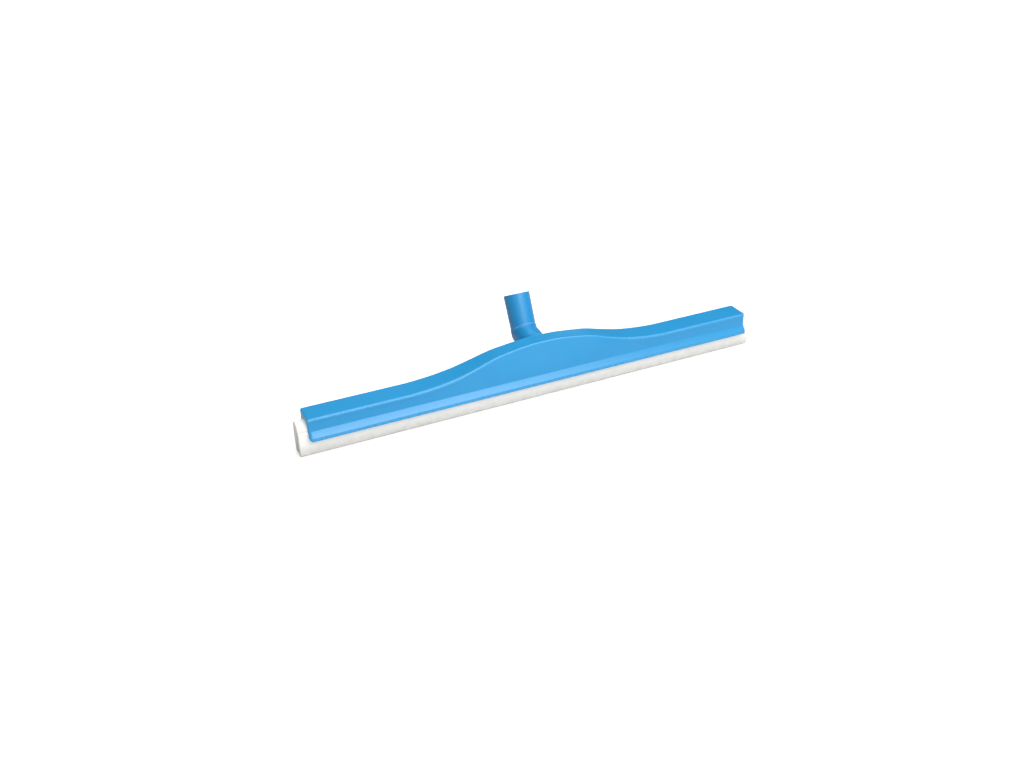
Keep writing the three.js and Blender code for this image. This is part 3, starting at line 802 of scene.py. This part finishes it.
nt.links.new(seen.outputs[0], nt.nodes["Material Output"].inputs[0])
me = bpy.data.meshes.new("floor")
me.from_pydata([(-9, -9, 0), (9, -9, 0), (9, 9, 0), (-9, 9, 0)], [], [(0, 1, 2, 3)])
floor = bpy.data.objects.new("floor", me)
bpy.context.scene.collection.objects.link(floor)
me.materials.append(m)

world = bpy.data.worlds.new("studio")
bpy.context.scene.world = world
world.use_nodes = True
wt = world.node_tree
wt.nodes.clear()
wo = wt.nodes.new("ShaderNodeOutputWorld")
bg = wt.nodes.new("ShaderNodeBackground")
wc = wt.nodes.new("ShaderNodeTexCoord")
ws = wt.nodes.new("ShaderNodeSeparateXYZ")
wt.links.new(wc.outputs["Generated"], ws.inputs[0])
steps = []                                        # a bright front wall that fades to dark sides and back
for op, value in (("MULTIPLY", -1.0), ("MAXIMUM", 0.0), ("POWER", 2.0), ("MULTIPLY", 1.164), ("ADD", 0.03)):
    step = wt.nodes.new("ShaderNodeMath")
    step.operation = op
    step.inputs[1].default_value = value
    wt.links.new(steps[-1].outputs[0] if steps else ws.outputs[1], step.inputs[0])
    steps.append(step)
bg.inputs["Color"].default_value = (1, 1, 1, 1)
seen_by = wt.nodes.new("ShaderNodeLightPath")     # beyond the floor's edge the camera sees plain white
plain = wt.nodes.new("ShaderNodeMix")
plain.data_type = "FLOAT"
plain.inputs[3].default_value = 1.0
wt.links.new(seen_by.outputs["Is Camera Ray"], plain.inputs[0])
wt.links.new(steps[-1].outputs[0], plain.inputs[2])
wt.links.new(plain.outputs[0], bg.inputs["Strength"])
wt.links.new(bg.outputs[0], wo.inputs[0])


def lamp(name, kind, at, look, colour=(1, 1, 1)):
    d = bpy.data.lights.new(name, kind)
    d.color = colour
    o = bpy.data.objects.new(name, d)
    o.location = at
    o.rotation_mode = "QUATERNION"
    o.rotation_quaternion = (Vector(look) - Vector(at)).to_track_quat("-Z", "Y")
    o.visible_camera = False
    bpy.context.scene.collection.objects.link(o)
    return d


key = lamp("key_softbox", "AREA", (0.20, -1.14, 1.02), (0.0, -0.03, 0.03))
key.shape, key.size, key.size_y, key.energy = "RECTANGLE", 1.1, 0.5, 8.4
sky = lamp("overhead_scrim", "SUN", (0.3, -0.12, 2.0), (0.0, 0.0, 0.0))
sky.angle, sky.energy = math.radians(80), 2.6

back_fill = lamp("low_back_fill", "AREA", (0.30, 1.45, 0.14), (0.0, 0.0, 0.04))
back_fill.shape, back_fill.size, back_fill.size_y, back_fill.energy = "RECTANGLE", 1.3, 0.2, 6.0

# ------------------------------------------------------------------ the camera
CAM = (-470.3, -901.8, 616.7, -25.58, 30.81, -0.25, 969.5)
a, e, r = (math.radians(v) for v in CAM[3:6])
back = Vector((math.sin(a) * math.cos(e), -math.cos(a) * math.cos(e), math.sin(e)))
right = Vector((math.cos(a), math.sin(a), 0.0))
up = back.cross(right)
r1 = right * math.cos(r) + up * math.sin(r)
u1 = -right * math.sin(r) + up * math.cos(r)
cam_data = bpy.data.cameras.new("camera")
cam = bpy.data.objects.new("camera", cam_data)
bpy.context.scene.collection.objects.link(cam)
cam.matrix_world = Matrix(((r1.x, u1.x, back.x, CAM[0] * MM), (r1.y, u1.y, back.y, (CAM[1] + Y0) * MM),
                           (r1.z, u1.z, back.z, CAM[2] * MM), (0, 0, 0, 1)))
cam_data.sensor_fit = "HORIZONTAL"
cam_data.sensor_width = 36.0
cam_data.lens = CAM[6] / 1024 * 36.0
cam_data.shift_x, cam_data.shift_y = -0.5 / 1024, 0.5 / 1024
cam_data.clip_start, cam_data.clip_end = 0.01, 50
bpy.context.scene.camera = cam
bpy.context.scene.view_settings.view_transform = "Standard"
bpy.context.scene.view_settings.look = "None"
